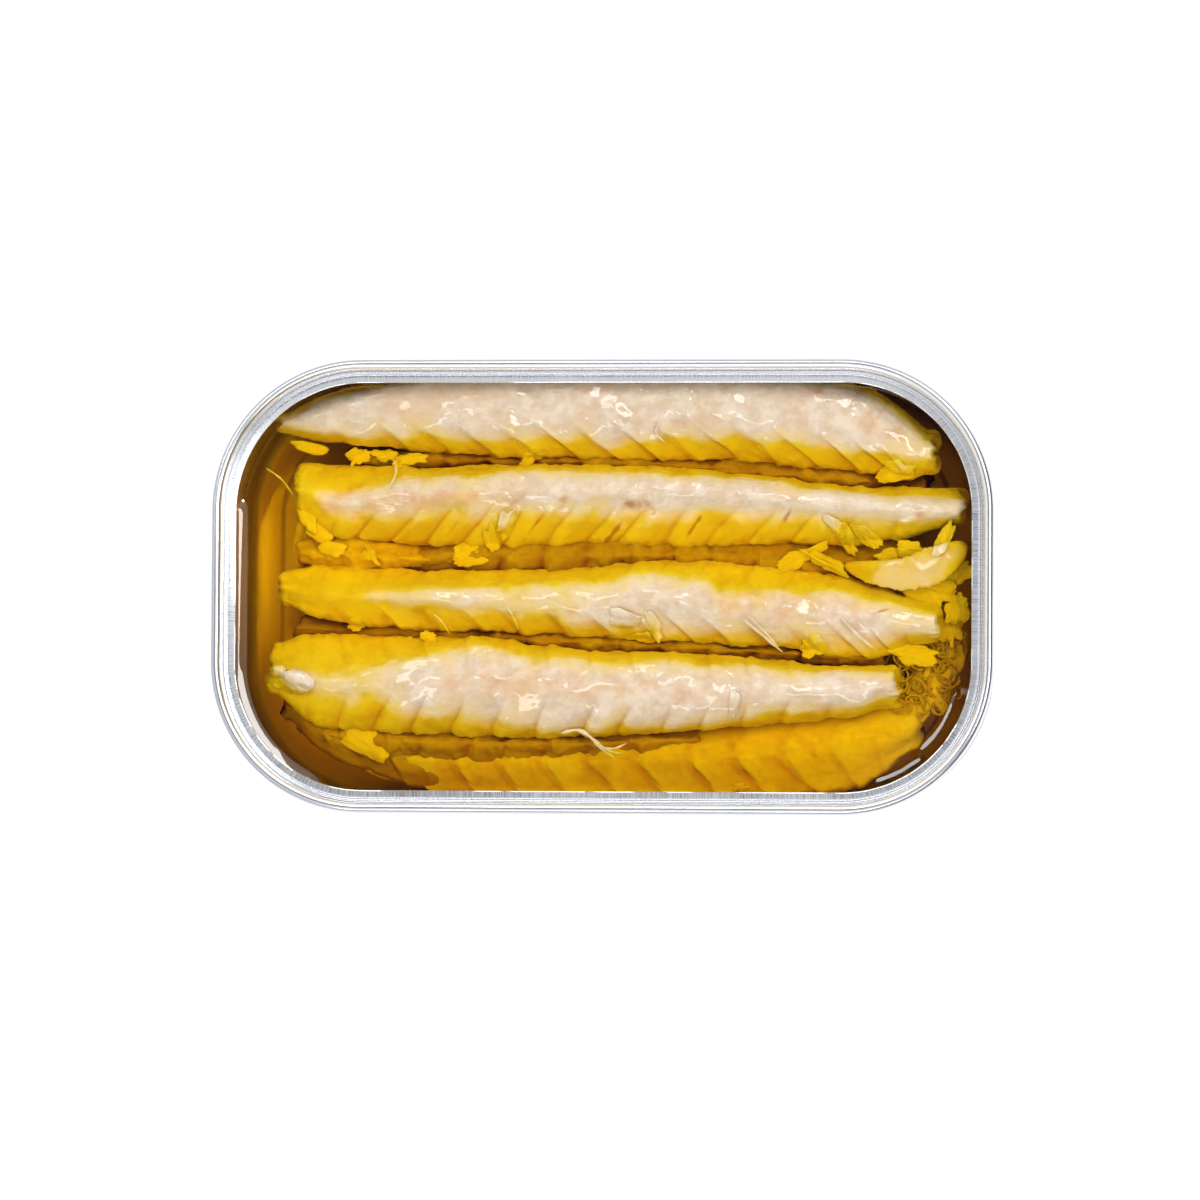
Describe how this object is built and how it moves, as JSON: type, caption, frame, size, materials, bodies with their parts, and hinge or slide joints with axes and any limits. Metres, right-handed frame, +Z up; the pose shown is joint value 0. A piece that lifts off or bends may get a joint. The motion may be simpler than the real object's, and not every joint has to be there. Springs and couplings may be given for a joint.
{
  "type": "opened tin of mackerel fillets in oil",
  "caption": "Rounded rectangular aluminium fish tin with its lid pulled off, holding mackerel fillets and a loose flake in golden oil.",
  "frame": {"origin": "middle of the base ring's underside, on the surface that the tin stands on", "axes": "+X along the tin's length, +Y across it, +Z up out of the opening"},
  "size_m": [0.105, 0.0608, 0.028],
  "materials": {
    "tin_aluminium": "bright drawn sheet, slightly brushed",
    "lid_aluminium": "bright rolled sheet, brushed on the torn flange",
    "oil": "clear golden oil",
    "fish": "moist cooked fish, satin with wet highlights"
  },
  "bodies": {
    "root": {"tin_body": "tin_aluminium", "lid_ring": "lid_aluminium", "oil": "oil", "fillet_1": "fish", "fillet_2": "fish", "fillet_3": "fish", "fillet_4": "fish", "fillet_5": "fish", "flake_large": "fish"}
  },
  "joints": []
}
